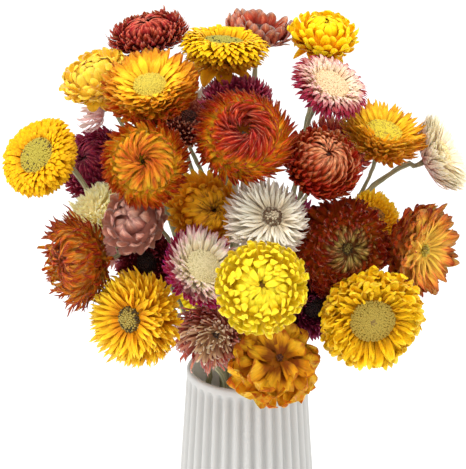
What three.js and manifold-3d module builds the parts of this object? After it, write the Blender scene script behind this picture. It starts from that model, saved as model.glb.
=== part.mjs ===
// A bouquet of dried strawflowers standing in a fluted vase.
// Millimetres, +Z up. The origin is the middle of the vase's flat underside.
// The front of the bouquet, its fullest side, looks along -Y.

import * as THREE from 'three';
import { mergeVertices } from 'three/addons/utils/BufferGeometryUtils.js';
import Module from 'manifold-3d';

const wasm = await Module();
wasm.setup();

// Driving dimensions of the vase. Its flutes run from the foot's rounded edge to the plain lip.
const VASE_HEIGHT = 190;
const VASE_MOUTH_RADIUS = 34.5;
const VASE_WAIST_RADIUS = 47;
const VASE_FOOT_RADIUS = 44;
const VASE_WALL = 3.6;
const VASE_FLOOR = 6;
const FOOT_EDGE_HEIGHT = 5;
const LIP_HEIGHT = 3.2;
const LIP_BEVEL = 1;
const FLUTES = 34;
const POINTS_PER_FLUTE = 3;
const FLUTE_DEPTH = 1.5;

// Driving dimensions of the stems. A stem stands SEAT_GAP clear of the vase's floor, and it ends as far from
// its head. Twigs leave the main stem one step apart, from FIRST_FORK steps above the mouth on. The lower and
// the upper part of a main stem overlap below the mouth, between two shares of the way from the foot to it.
const STEM_RADIUS = 1.4;
const TWIG_RADIUS = 1.1;
const STEM_SIDES = 5;
const STEM_STEPS = 6;
const TWIG_STEPS = 4;
const FIRST_FORK = 2;
const FOOT_SPREAD = 1.2;
const SEAT_GAP = 0.3;
const BEND_LENGTH = 16;
const STRAIGHT_END = 6;
const LOWER_END = 0.94;
const UPPER_START = 0.92;

// Driving dimensions of a dry leaf. It starts inside its twig and passes two points, given as shares of its
// length along the twig and away from it. It is cut at three shares of its spine.
const LEAF_LENGTH = 16;
const LEAF_WIDTH = 4;
const LEAF_THICKNESS = 1.2;
const LEAF_ROOT = 1.5;
const LEAF_POINTS = [[0.4, 0.25], [0.6, 0.65]];
const LEAF_STATIONS = [0.02, 0.35, 0.7];
const LEAF_PINCH = 0.15;

// Driving dimensions of the heads' bracts. The smaller heads between and behind the others have fewer.
const BRACTS_PER_ROW = 11;
const BRACTS_PER_SMALL_ROW = 8;
const FIRST_SMALL_HEAD = 31;
const NOTCH_SHARE = 0.5;
const TIP_VARIATION = 0.05;

const COLOURS = {
  yellow: '#f2c410',
  lemon: '#f0dc28',
  gold: '#e3a816',
  amber: '#d5821a',
  orange: '#dd7420',
  rust: '#b1401c',
  copper: '#8e3a2c',
  red: '#84201a',
  wine: '#5c1026',
  magenta: '#a83258',
  pink: '#c98a82',
  cream: '#e6dcc0',
  ivory: '#f4ead0',
  brown: '#9a7458',
};

// Profiles of the kinds of head, in shares of the head's radius: along the radius, then along the axis.
// The underside is a bowl from the seat, where the stem ends. Each row of bracts has a tip and the root
// of the gap above it, and bracts of neighbouring rows alternate.
const KINDS = {
  open: {
    seat: -0.46,
    bowl: [0.5, -0.38],
    rows: [
      { tip: [1.0, -0.08], root: [0.68, 0.0] },
      { tip: [0.88, 0.22], root: [0.52, 0.14] },
      { tip: [0.62, 0.4], root: [0.38, 0.18] },
    ],
    centre: 0.22,
  },
  flat: {
    seat: -0.46,
    bowl: [0.46, -0.4],
    rows: [
      { tip: [0.86, -0.3], root: [0.64, -0.18] },
      { tip: [1.0, -0.02], root: [0.68, 0.06] },
      { tip: [0.82, 0.26], root: [0.5, 0.16] },
    ],
    centre: 0.2,
  },
  cup: {
    seat: -0.58,
    bowl: [0.56, -0.46],
    rows: [
      { tip: [0.96, -0.2], root: [0.76, -0.06] },
      { tip: [1.0, 0.14], root: [0.66, 0.14] },
      { tip: [0.66, 0.42], root: [0.36, 0.22] },
    ],
    centre: 0.26,
  },
  ball: {
    seat: -0.6,
    bowl: [0.58, -0.48],
    rows: [
      { tip: [1.0, -0.14], root: [0.82, -0.02] },
      { tip: [0.94, 0.26], root: [0.66, 0.3] },
      { tip: [0.56, 0.56], root: [0.24, 0.44] },
    ],
    centre: 0.4,
  },
};

// The heads. at: across, back and up from the middle of the vase's mouth. face: the way the head looks.
// bracts: how many a row has, where they are broad. via: points where its stem bends round other heads.
const HEADS = [
  {
    name: 'head_01_deep_red', at: [-55, 30, 189], face: [-0.2, -0.1, 1],
    width: 45, kind: 'flat', colour: 'red',
  },
  {
    name: 'head_02_yellow', at: [-13, 21, 184], face: [0.1, 0.05, 1],
    width: 52, kind: 'flat', colour: 'yellow',
    via: [[-11, 22, 100], [-15, 31, 155]],
  },
  {
    name: 'head_03_copper', at: [7, 58, 184], face: [0.1, 0.0, 1],
    width: 40, kind: 'cup', colour: 'copper', bracts: 9,
    via: [[2, 36, 90], [4, 45, 150]],
  },
  {
    name: 'head_04_bright_yellow', at: [43, 32, 188], face: [0.15, -0.25, 1],
    width: 39, kind: 'ball', colour: 'yellow',
  },
  {
    name: 'head_05_pale_gold', at: [-83, 7, 171], face: [-0.4, -0.35, 0.95],
    width: 42, kind: 'ball', colour: 'yellow',
  },
  {
    name: 'head_06_orange', at: [-52, -27, 175], face: [-0.1, -0.45, 0.9],
    width: 52, kind: 'open', colour: 'gold',
    via: [[-34, 0, 85], [-53, 3, 148]],
  },
  {
    name: 'head_07_wine', at: [-6, -2, 161], face: [0.0, -0.35, 1],
    width: 40, kind: 'cup', colour: 'wine',
  },
  {
    name: 'head_08_scarlet', at: [-2, -43, 153], face: [0, -0.68, 0.74],
    width: 53, kind: 'ball', colour: 'rust',
  },
  {
    name: 'head_09_pink_cream', at: [45, -2, 168], face: [0.4, -0.4, 0.85],
    width: 45, kind: 'flat', colour: 'magenta',
  },
  {
    name: 'head_10_golden', at: [75, -1, 141], face: [0.22, -0.25, 0.94],
    width: 47, kind: 'open', colour: 'amber',
  },
  {
    name: 'head_11_cream', at: [109, 15, 123], face: [0.9, -0.15, 0.45],
    width: 48, kind: 'flat', colour: 'ivory',
    via: [[62, 16, 94], [92, 17, 117]],
  },
  {
    name: 'head_12_rust', at: [40, -35, 135], face: [0.35, -0.5, 0.75],
    width: 44, kind: 'ball', colour: 'rust',
  },
  {
    name: 'head_13_bright_yellow', at: [-114, -10, 130], face: [-0.5, -0.6, 0.62],
    width: 48, kind: 'flat', colour: 'yellow',
    via: [[-74, 3, 80], [-99, 8, 118]],
  },
  {
    name: 'head_14_wine', at: [-87, 26, 114], face: [-0.6, -0.5, 0.5],
    width: 44, kind: 'open', colour: 'wine',
  },
  {
    name: 'head_15_orange', at: [-54, -55, 142], face: [-0.05, -0.92, 0.4],
    width: 48, kind: 'open', colour: 'orange',
    via: [[-34, -14, 85], [-45, -24, 122]],
  },
  {
    name: 'head_16_straw', at: [-84, -11, 97], face: [-0.6, -0.4, 0.7],
    width: 40, kind: 'open', colour: 'cream',
  },
  {
    name: 'head_17_dusty_pink', at: [-61, -48, 107], face: [-0.4, -0.75, 0.55],
    width: 38, kind: 'ball', colour: 'pink', bracts: 9,
    via: [[-31, -22, 68], [-50, -28, 98]],
  },
  {
    name: 'head_18_rust', at: [-95, -38, 79], face: [-0.85, -0.5, 0.05],
    width: 51, kind: 'open', colour: 'rust',
  },
  {
    name: 'head_19_amber', at: [-24, -29, 108], face: [0.1, -0.75, 0.65],
    width: 41, kind: 'open', colour: 'amber',
  },
  {
    name: 'head_20_cream', at: [9, -52, 109], face: [0.15, -0.7, 0.7],
    width: 46, kind: 'open', colour: 'cream',
  },
  {
    name: 'head_21_maroon', at: [51, -41, 88], face: [0.3, -0.9, 0.15],
    width: 56, kind: 'open', colour: 'rust',
  },
  {
    name: 'head_22_orange', at: [96, -24, 81], face: [0.72, -0.68, 0.1],
    width: 52, kind: 'open', colour: 'orange',
  },
  {
    name: 'head_23_dark_wine', at: [-55, -22, 73], face: [-0.15, -0.9, 0.3],
    width: 38, kind: 'open', colour: 'wine',
  },
  {
    name: 'head_24_cream_crimson', at: [-24, -60, 85], face: [0.42, -0.6, 0.68],
    width: 46, kind: 'open', colour: 'magenta',
    via: [[0, -22, 38], [-13, -36, 62]],
  },
  {
    name: 'head_25_lemon', at: [7, -86, 84], face: [0, -0.88, 0.48],
    width: 50, kind: 'ball', colour: 'lemon',
  },
  {
    name: 'head_26_gold', at: [-60, -60, 55], face: [-0.55, -0.8, 0.22],
    width: 54, kind: 'open', colour: 'gold',
  },
  {
    name: 'head_27_curly_gold', at: [67, -60, 55], face: [0.1, -1, -0.05],
    width: 58, kind: 'open', colour: 'gold',
  },
  {
    name: 'head_28_dark_wine', at: [36, -39, 53], face: [0.3, -0.9, 0.1],
    width: 38, kind: 'open', colour: 'wine',
  },
  {
    name: 'head_29_brown', at: [-22, -50, 39], face: [-0.1, -0.9, -0.1],
    width: 38, kind: 'cup', colour: 'brown',
  },
  {
    name: 'head_30_amber', at: [15, -58, 28], face: [0.1, -0.7, 0.7],
    width: 49, kind: 'open', colour: 'amber', bracts: 8,
  },
  {
    name: 'head_31_pale_pink', at: [-88, 24, 147], face: [-1, -0.1, 0.1],
    width: 32, kind: 'open', colour: 'pink',
  },
  {
    name: 'head_32_russet', at: [-32, 2, 148], face: [0.2, -0.5, 0.8],
    width: 34, kind: 'cup', colour: 'copper',
    via: [[-24, 4, 100]],
  },
  {
    name: 'head_33_yellow', at: [71, -9, 95], face: [0.4, -0.4, 0.7],
    width: 34, kind: 'cup', colour: 'yellow',
  },
  {
    name: 'head_34_rust_back', at: [-70, 55, 106], face: [-0.7, 0.8, 0.4],
    width: 42, kind: 'ball', colour: 'rust',
  },
  {
    name: 'head_35_cream_back', at: [-38, 60, 138], face: [-0.2, 0.8, 0.7],
    width: 42, kind: 'open', colour: 'cream',
  },
  {
    name: 'head_36_gold_back', at: [2, 62, 117], face: [0.0, 1, 0.4],
    width: 44, kind: 'open', colour: 'gold',
  },
  {
    name: 'head_37_red_back', at: [55, 50, 118], face: [0.5, 0.8, 0.5],
    width: 42, kind: 'cup', colour: 'red',
  },
  {
    name: 'head_38_pink_back', at: [-82, 34, 64], face: [-0.8, 0.6, 0.1],
    width: 40, kind: 'open', colour: 'pink',
  },
  {
    name: 'head_39_orange_back', at: [-22, 66, 64], face: [-0.3, 1, 0.1],
    width: 44, kind: 'open', colour: 'orange',
  },
  {
    name: 'head_40_wine_back', at: [24, 68, 62], face: [0.2, 1, 0.1],
    width: 40, kind: 'cup', colour: 'wine',
  },
  {
    name: 'head_41_yellow_back', at: [60, 58, 46], face: [0.5, 0.9, 0.0],
    width: 42, kind: 'flat', colour: 'yellow',
  },
  {
    name: 'head_42_amber_back', at: [96, 28, 58], face: [0.9, 0.4, 0.1],
    width: 38, kind: 'ball', colour: 'amber',
  },
  {
    name: 'head_43_lemon_back', at: [-26, 56, 26], face: [-0.3, 0.9, -0.2],
    width: 40, kind: 'ball', colour: 'lemon',
  },
  {
    name: 'head_44_cream_back', at: [30, 56, 28], face: [0.3, 0.9, -0.2],
    width: 40, kind: 'flat', colour: 'ivory',
  },
];

// The stems. neck: where a stem passes the mouth. The first head is on the main stem, and the others are on
// twigs that leave it. leafOn: the twig with a dry leaf.
const STEMS = [
  { name: 'stem_left_top', neck: [-12, 6], heads: [1, 5, 31] },
  { name: 'stem_left_front', neck: [-13, -7], heads: [6, 15, 17] },
  { name: 'stem_left', neck: [-22, 0], heads: [13, 14, 16, 18] },
  { name: 'stem_top', neck: [-3, 4], leafOn: 0, heads: [2, 7, 32] },
  { name: 'stem_front_top', neck: [-2, -8], heads: [8, 19] },
  { name: 'stem_back_top', neck: [2, 14], heads: [3, 35, 36] },
  { name: 'stem_right_top', neck: [8, 6], heads: [4, 9, 37] },
  { name: 'stem_right', neck: [20, 3], heads: [11, 10, 22, 33] },
  { name: 'stem_right_front', neck: [9, -6], leafOn: 0, heads: [12, 20] },
  { name: 'stem_right_low', neck: [17, -13], heads: [21, 27, 28] },
  { name: 'stem_front', neck: [2, -17], heads: [24, 25] },
  { name: 'stem_left_low', neck: [-13, -18], leafOn: 0, heads: [26, 23] },
  { name: 'stem_front_low', neck: [3, -25], heads: [29, 30] },
  { name: 'stem_back_left', neck: [-14, 17], leafOn: 0, heads: [34, 38, 39, 43] },
  { name: 'stem_back_right', neck: [15, 17], heads: [41, 42, 40, 44] },
];

function randomFrom(seed) {
  let state = seed * 2654435761 % 4294967296;
  return () => {
    state = (state * 1664525 + 1013904223) % 4294967296;
    return state / 4294967296;
  };
}

// A closed surface from rings of equally many points, from the lowest pole to the last one.
function closedRings(firstPole, rings, lastPole) {
  const count = rings[0].length;
  const points = [firstPole, ...rings.flat(), lastPole];
  const index = [];
  const at = (ring, k) => 1 + ring * count + k % count;
  for (let k = 0; k < count; k++) {
    index.push(0, at(0, k + 1), at(0, k));
  }
  for (let ring = 0; ring + 1 < rings.length; ring++) {
    for (let k = 0; k < count; k++) {
      index.push(at(ring, k), at(ring, k + 1), at(ring + 1, k + 1));
      index.push(at(ring, k), at(ring + 1, k + 1), at(ring + 1, k));
    }
  }
  const last = points.length - 1;
  for (let k = 0; k < count; k++) {
    index.push(at(rings.length - 1, k), at(rings.length - 1, k + 1), last);
  }
  const geometry = new THREE.BufferGeometry().setFromPoints(points);
  geometry.setIndex(index);
  geometry.computeVertexNormals();
  return geometry;
}

function ringOfPoints(count, pointAt) {
  return Array.from({ length: count }, (_, k) => pointAt(k, 2 * Math.PI * k / count));
}

function polar(radius, angle, z) {
  return new THREE.Vector3(radius * Math.cos(angle), radius * Math.sin(angle), z);
}

function vaseGeometry() {
  const count = FLUTES * POINTS_PER_FLUTE;
  const innerMouth = VASE_MOUTH_RADIUS - VASE_WALL;
  const innerFoot = VASE_WAIST_RADIUS - VASE_WALL - FLUTE_DEPTH;
  const plain = (radius, z) => ringOfPoints(count, (k, angle) => polar(radius, angle, z));
  const fluted = (radius, z) => ringOfPoints(count, (k, angle) => {
    const inGroove = k % POINTS_PER_FLUTE === 0;
    return polar(radius - (inGroove ? FLUTE_DEPTH : 0), angle, z);
  });
  const rings = [
    plain(VASE_FOOT_RADIUS, 0),
    fluted(VASE_WAIST_RADIUS, FOOT_EDGE_HEIGHT),
    fluted(VASE_MOUTH_RADIUS, VASE_HEIGHT - LIP_HEIGHT),
    plain(VASE_MOUTH_RADIUS, VASE_HEIGHT - LIP_HEIGHT + LIP_BEVEL),
    plain(VASE_MOUTH_RADIUS - LIP_BEVEL, VASE_HEIGHT),
    plain(innerMouth, VASE_HEIGHT - LIP_BEVEL),
    plain(innerFoot, VASE_FLOOR),
  ];
  return closedRings(new THREE.Vector3(0, 0, 0), rings, new THREE.Vector3(0, 0, VASE_FLOOR));
}

function headGeometry(head, number) {
  const random = randomFrom(number);
  const isSmall = number >= FIRST_SMALL_HEAD;
  const bracts = head.bracts ?? (isSmall ? BRACTS_PER_SMALL_ROW : BRACTS_PER_ROW);
  const count = 2 * bracts;
  const radius = head.width / 2;
  const kind = KINDS[head.kind];
  const vary = () => 1 + TIP_VARIATION * (2 * random() - 1);
  const turn = 2 * Math.PI * random();
  const ring = ([r, z]) => ringOfPoints(count, (k, angle) => polar(r * radius, angle + turn, z * radius));
  const rings = [ring(kind.bowl)];
  kind.rows.forEach((row, level) => {
    const notch = [0, 1].map((i) => THREE.MathUtils.lerp(row.tip[i], row.root[i], NOTCH_SHARE));
    rings.push(ringOfPoints(count, (k, angle) => {
      const isTip = (k + level) % 2 === 0;
      const [r, z] = isTip ? row.tip : notch;
      return polar(r * radius * (isTip ? vary() : 1), angle + turn, z * radius);
    }));
    rings.push(ring(row.root));
  });
  const firstPole = new THREE.Vector3(0, 0, kind.seat * radius);
  const lastPole = new THREE.Vector3(0, 0, kind.centre * radius);
  return closedRings(firstPole, rings, lastPole);
}

const UP = new THREE.Vector3(0, 0, 1);

// A point given across, back and up from the middle of the vase's mouth.
function pointAbove([across, back, up]) {
  return new THREE.Vector3(across, back, VASE_HEIGHT + up);
}

function facingOf(head) {
  return new THREE.Vector3(...head.face).normalize();
}

// The point behind a head where its stem ends.
function seatOf(head) {
  const depth = -KINDS[head.kind].seat * head.width / 2 + SEAT_GAP;
  return pointAbove(head.at).addScaledVector(facingOf(head), -depth);
}

function tube(curve, radius, steps) {
  const section = new THREE.Shape(ringOfPoints(STEM_SIDES, (k, a) => {
    return new THREE.Vector2(radius * Math.cos(a), radius * Math.sin(a));
  }));
  return toSolid(new THREE.ExtrudeGeometry(section, { steps, extrudePath: curve, bevelEnabled: false }));
}

function toSolid(geometry) {
  const plain = geometry.clone();
  plain.deleteAttribute('normal');
  plain.deleteAttribute('uv');
  const merged = mergeVertices(plain, 1e-4);
  const index = merged.index.array;
  return new wasm.Manifold(new wasm.Mesh({
    numProp: 3,
    vertProperties: new Float32Array(merged.attributes.position.array),
    triVerts: new Uint32Array(index),
  }));
}

function fromSolid(solid) {
  const mesh = solid.getMesh();
  const geometry = new THREE.BufferGeometry();
  geometry.setAttribute('position', new THREE.BufferAttribute(mesh.vertProperties, 3));
  geometry.setIndex(new THREE.BufferAttribute(mesh.triVerts, 1));
  geometry.computeVertexNormals();
  return geometry;
}

function upperPoints(from, head) {
  const seat = seatOf(head);
  if (head.via) {
    return [...head.via.map(pointAbove), seat.clone().addScaledVector(facingOf(head), -STRAIGHT_END), seat];
  }
  const behind = seat.clone().addScaledVector(facingOf(head), -BEND_LENGTH);
  return [from.clone().lerp(behind, 0.5), behind, seat];
}

function smooth(points) {
  return new THREE.CatmullRomCurve3(points, false, 'centripetal');
}

// A small dry leaf, pinched at both ends and curled along its length, that grows from a twig.
function leaf(stalk, along) {
  const side = new THREE.Vector3().crossVectors(along, UP).normalize();
  const out = new THREE.Vector3().crossVectors(side, along).normalize();
  const passed = LEAF_POINTS.map(([run, rise]) => {
    return stalk.clone().addScaledVector(along, LEAF_LENGTH * run).addScaledVector(out, LEAF_LENGTH * rise);
  });
  const spine = smooth([stalk.clone().addScaledVector(along, -LEAF_ROOT), ...passed]);
  const rings = LEAF_STATIONS.map((share) => {
    const middle = spine.getPointAt(share);
    const fullness = Math.sin(Math.PI * THREE.MathUtils.lerp(LEAF_PINCH, 1, share));
    const wide = side.clone().multiplyScalar(LEAF_WIDTH / 2 * fullness);
    const across = new THREE.Vector3().crossVectors(side, spine.getTangentAt(share));
    const thick = across.multiplyScalar(LEAF_THICKNESS / 2);
    const corners = [wide.clone().negate(), thick.clone(), wide, thick.negate()];
    return corners.map((corner) => corner.add(middle));
  });
  return toSolid(closedRings(spine.getPointAt(0), rings, spine.getPointAt(1)));
}

// The main stem is straight inside the vase and bends above it. Each twig leaves it a step higher up.
function stemGeometry(stem) {
  const [first, ...others] = stem.heads.map((number) => HEADS[number - 1]);
  const neck = new THREE.Vector3(...stem.neck, VASE_HEIGHT);
  const foot = new THREE.Vector3(neck.x * FOOT_SPREAD, neck.y * FOOT_SPREAD, VASE_FLOOR + SEAT_GAP);
  const lower = new THREE.LineCurve3(foot, foot.clone().lerp(neck, LOWER_END));
  const upper = smooth([foot.clone().lerp(neck, UPPER_START), neck, ...upperPoints(neck, first)]);
  let solid = tube(lower, STEM_RADIUS, 1).add(tube(upper, STEM_RADIUS, STEM_STEPS));
  others.forEach((head, i) => {
    const start = upper.getPointAt((FIRST_FORK + i) / STEM_STEPS);
    const twig = smooth([start, ...upperPoints(start, head)]);
    solid = solid.add(tube(twig, TWIG_RADIUS, TWIG_STEPS));
    if (stem.leafOn === i) solid = solid.add(leaf(twig.getPointAt(0.5), twig.getTangentAt(0.5)));
  });
  return fromSolid(solid);
}

function namedMesh(name, geometry, material) {
  const mesh = new THREE.Mesh(geometry, material);
  mesh.name = name;
  return mesh;
}

const ceramic = new THREE.MeshStandardMaterial({ color: '#e6e5e0', roughness: 0.55, metalness: 0 });
const dryStem = new THREE.MeshStandardMaterial({ color: '#96906f', roughness: 0.9, metalness: 0 });
const petalMaterials = {};
for (const [name, color] of Object.entries(COLOURS)) {
  petalMaterials[name] = new THREE.MeshStandardMaterial({ color, roughness: 0.7, metalness: 0 });
}

const bouquet = new THREE.Group();
bouquet.name = 'dried_strawflower_bouquet';
bouquet.add(namedMesh('vase', vaseGeometry(), ceramic));

STEMS.forEach((stem) => bouquet.add(namedMesh(stem.name, stemGeometry(stem), dryStem)));

HEADS.forEach((head, i) => {
  const mesh = namedMesh(head.name, headGeometry(head, i + 1), petalMaterials[head.colour]);
  mesh.position.copy(pointAbove(head.at));
  mesh.quaternion.setFromUnitVectors(UP, facingOf(head));
  bouquet.add(mesh);
});

export default bouquet;
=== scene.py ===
"""Looks of a bouquet of dried strawflowers in a fluted vase. Tables are in millimetres, meshes in metres."""
import math

import bpy
import numpy as np
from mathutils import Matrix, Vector


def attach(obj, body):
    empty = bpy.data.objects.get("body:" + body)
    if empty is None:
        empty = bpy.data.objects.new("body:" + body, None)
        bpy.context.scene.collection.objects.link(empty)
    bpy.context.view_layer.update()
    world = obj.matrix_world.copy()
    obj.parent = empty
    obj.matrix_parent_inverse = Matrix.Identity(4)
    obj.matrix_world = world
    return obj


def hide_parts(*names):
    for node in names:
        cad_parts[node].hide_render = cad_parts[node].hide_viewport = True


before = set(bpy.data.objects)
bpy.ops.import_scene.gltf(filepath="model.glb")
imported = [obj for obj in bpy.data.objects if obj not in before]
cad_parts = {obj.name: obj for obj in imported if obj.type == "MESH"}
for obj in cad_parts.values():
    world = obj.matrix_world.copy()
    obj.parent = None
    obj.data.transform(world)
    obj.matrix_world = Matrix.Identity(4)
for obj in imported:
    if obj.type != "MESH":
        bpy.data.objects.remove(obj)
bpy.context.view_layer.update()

MM = 0.001
ATTRIBUTES = "along", "across", "whorl", "chance"
GOLDEN_ANGLE = math.pi * (3 - math.sqrt(5))

# The camera: its degrees above the horizon, its place in metres, its sensor in millimetres, and its focal
# length and the picture's height in pixels. Then the picture's directions to the right and up.
ELEVATION = 21
CAMERA_PLACE = (-0.00784, -1.1203, 0.70082)
SENSOR = 36
FOCAL_LENGTH = 2142.857
PICTURE_HEIGHT = 469
ACROSS_VIEW = np.array([1, 0, 0])
UP_VIEW = np.array([0, math.sin(math.radians(ELEVATION)), math.cos(math.radians(ELEVATION))])

# The lights: where each is, what it looks at and its size in metres, and its power in watts
LIGHTS = {
    "left_softbox": ((-1.7, -0.7, 0.9), (0, 0, 0.3), 1.1, 12),
    "right_softbox": ((1.7, -0.6, 0.8), (0, 0, 0.3), 1.1, 7),
    "top_softbox": ((-0.2, -0.5, 2.2), (0, 0, 0.2), 1.6, 28),
}
FLOOR_REACH = 8

# Where a bract has points along it and how many across: the usual narrow ones, and those wider than BROAD
STATIONS = np.array([0, 0.3, 0.54, 0.76, 0.92, 1])
COLUMNS = 3
BROAD = 1.15
FINE_STATIONS = np.array([0, 0.2, 0.4, 0.58, 0.74, 0.87, 0.96, 1])
FINE_COLUMNS = 5
BRACT_THICKNESS = 0.4
COLOUR_PLACES = (0.25, 0.52, 0.76, 0.97)
# The colour added as a painted highlight down the middle of the bracts
PAINTED_HIGHLIGHT_COLOUR = (0.46, 0.24, 0.12)

# How strongly a bract bends to its directions at its ends, and how much chance changes its place round the
# head, its tip's reach and height, its rise at root and tip in degrees, its sideways bend and its twist
PULL = 1.25
TURN_CHANCE = 0.05
WAVE_START = 6.28
REACH_CHANCE, HEIGHT_CHANCE = 0.03, 0.035
ROOT_CHANCE, TIP_CHANCE = 5, 10
SIDE_CHANCE, TWIST_CHANCE = 0.07, 0.45


def table(text):
    """The rows of numbers of a text."""
    return np.array([line.split() for line in text.strip().splitlines()], float)


# How the bracts of a form of head change from the outermost (share 0) to the innermost (share 1): their root
# and their tip, each along the radius and the axis, how far they rise from the radius at each, in degrees,
# and their width. Lengths are in shares of the head's radius. The roots also outline the core.
BRACT_KEYS = {
    "open": table("""
      0 .24 -.42   .6 -.46 -15   0 .13
    .12  .4 -.38  .88 -.32  -5  30 .13
    .28 .52 -.26 1.02 -.08   5  55 .13
    .46 .56 -.12    1  .12  15  60 .13
    .62 .54 -.02  .88  .26  28  65 .13
    .76 .48  .05   .7  .34  40  75 .12
    .88 .42  .09  .46  .38  55 110 .11
      1 .34   .1  .12  .28  80 190  .1
    """),
    "bowl": table("""
      0 .24 -.42   .6 -.46 -15   0 .13
     .1 .38 -.38  .86 -.34  -5  30 .13
    .22 .48  -.3    1 -.12   5  55 .13
     .4 .52  -.2 1.04  .06  10  50 .13
    .58  .5  -.1    1   .2  15  48 .13
    .76 .45 -.02  .92  .29  25  42 .13
     .9 .38  .04   .8  .32  32  36 .12
      1 .32  .08  .66   .3  40  25 .11
    """),
    "flat": table("""
      0  .2 -.44  .62 -.52 -30 -40 .14
    .12 .38 -.36   .9 -.36   0 -30 .14
    .26  .5 -.26    1  -.2  15 -45 .13
    .42 .58 -.12 1.04 -.04  30 -50 .13
     .6 .58    0  .98  .12  40 -45 .12
    .76 .53  .07  .86  .23  45 -30 .12
     .9 .47  .11  .71  .27  50 -20 .11
      1 .42  .12  .58  .24  50 -20 .09
    """),
    "cup": table("""
      0 .24  -.5   .6 -.54 -20   0 .13
    .12  .4 -.46  .88 -.38 -10  30 .13
    .28 .56 -.36 1.02 -.14   5  62 .13
    .46 .64 -.22 1.03  .08  15  80 .13
    .64 .62 -.06  .94  .24  30  90 .12
    .79 .54  .04  .76  .32  50 100 .12
     .9 .44   .1  .52  .34  65 125 .11
      1 .28  .12  .16  .28  85 170 .09
    """),
    "ball": table("""
      0 .25  -.5  .62 -.52 -15   5 .13
    .12 .42 -.46  .92 -.32 -10  45 .13
    .28 .58 -.36 1.03 -.06   0  75 .13
    .44 .66  -.2  .99  .18  20 120 .13
    .58 .67 -.04  .86  .38  45 145 .13
     .7 .62  .08  .66  .51  65 165 .13
    .78 .55  .16   .4  .57  75 175 .13
    .87 .49   .2  .16  .52  80 195 .13
      1  .4  .22  .04  .42  85 215 .12
    """),
    "ring": table("""
      0 .25 -.45  .62  -.5 -15   5 .13
    .12 .42 -.42  .92 -.32 -10  45 .13
    .28 .56  -.3 1.03 -.06   0  85 .13
    .44 .62 -.16    1  .16  20 115 .13
    .58 .62 -.02  .88  .32  45 135 .13
     .7 .58  .06  .72   .4  60 160 .13
    .82 .52   .1   .5  .38  70 185 .12
    .92 .48  .08  .26  .18  75 205 .12
      1 .42  .04  .12    0  90 225 .12
    """),
    "fan": table("""
      0 .24  -.4   .8 -.24 -10  20 .13
    .15 .34 -.34    1 -.02   0  40 .13
     .5 .44  -.2 1.05  .14   5  35 .13
     .8 .44 -.06  .97  .24  15  25 .13
      1 .32  .06  .66  .28  35  20 .11
    """),
    "tulip": table("""
      0 .22 -.52  .96  -.4 -15  10 .05
    .25 .44 -.46 1.02 -.12   0  40 .05
     .4  .5  -.4 1.02  .16   0  80 .13
     .7  .5  -.3  .97  .42  10  95 .13
      1 .34 -.04  .62  .42  40 110 .13
    """),
    "swirl": table("""
      0 .25  -.5  .62  -.5 -15   5 .13
    .12  .4 -.44  .92 -.34 -10  25 .13
    .28 .52 -.34 1.06  -.1   0  35 .13
    .44 .58 -.22 1.06   .1   5  45 .13
    .58  .6  -.1  .98  .26  12  62 .13
    .67 .62 -.02  .84  .34  30  90 .13
    .72 .64  .02  .62  .42  55 145 .13
     .8 .62  .06  .32  .44  65 175 .12
    .89 .56  .09  .14  .36  70 200 .12
      1 .42   .1  .05  .24  75 220  .1
    """),
}

# The disc of each form: the height of its rim and of its middle, in shares of the radius
DISCS = {
    "open": (0.1, 0.2), "bowl": (0.09, 0.16), "flat": (0.14, 0.2), "cup": (0.1, 0.2), "ball": (0.38, 0.4),
    "swirl": (0.02, 0.1), "ring": (-0.04, -0.06), "fan": (0.09, 0.16), "tulip": (0, 0.1),
}
CORE_SIDES = 20
CORE_SINK = 0.02
FLORET_RADIUS = 0.55
FLORET_SIDES = 5

# What sets heads apart, with its usual values. Skirt and teeth scale the widths of the outermost and
# innermost bracts, turn is where the outer colours turn to the inner ones, and lean moves the middle right
# and up. Some also have hang, the number of bracts hanging below, rim, which gives the bracts' edges the
# colour of their tips, and ring or dots, which place the disc's dark florets.
# One of the usual values sets the painted highlight down the middle of each bract and the painted shade at
# its edges.
LOOK = dict(
    tall=1, size=0.97, wide=1, skirt=1, teeth=1, spread=1, tips=0, swirl=0, rough=1, curl=0, blunt=0.5, fan=0,
    relief=1, streak=0.25, turn=(0.25, 0.85), lean=(0, 0),
)

# The few broad bracts that hang below some heads, by the same keys
HANGING_KEYS = table("""
      0  .2 -.44  .62 -.84 -30 -75 .42
      1 .24 -.42   .8 -.56 -10 -60 .42
""")
HANGING_LOOK = dict(LOOK, wide=1.2, spread=2)

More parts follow.
